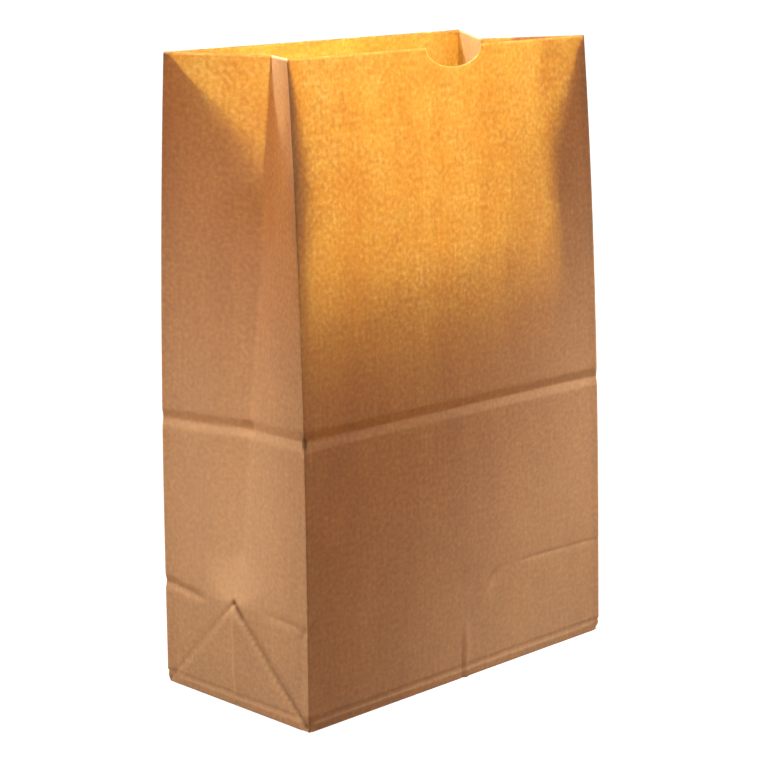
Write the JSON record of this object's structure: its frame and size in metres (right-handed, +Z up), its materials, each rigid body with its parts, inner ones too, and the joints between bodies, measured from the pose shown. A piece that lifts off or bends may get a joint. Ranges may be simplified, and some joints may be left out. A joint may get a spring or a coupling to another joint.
{
  "type": "paper bag",
  "caption": "Tall block-bottom kraft paper bag standing open, with folded side gussets, a flat glued base and a thumb notch in the front rim.",
  "frame": {"origin": "under the middle of the base, on the surface that the bag stands on", "axes": "+Z up to the open rim, -Y out of the front panel with the thumb notch, +X along the front panel to the right as seen from the front"},
  "size_m": [0.3008, 0.15, 0.45],
  "materials": {
    "kraft_paper": "unbleached kraft, matt, slightly translucent"
  },
  "bodies": {
    "root": {"paper_bag": "kraft_paper"}
  },
  "joints": []
}
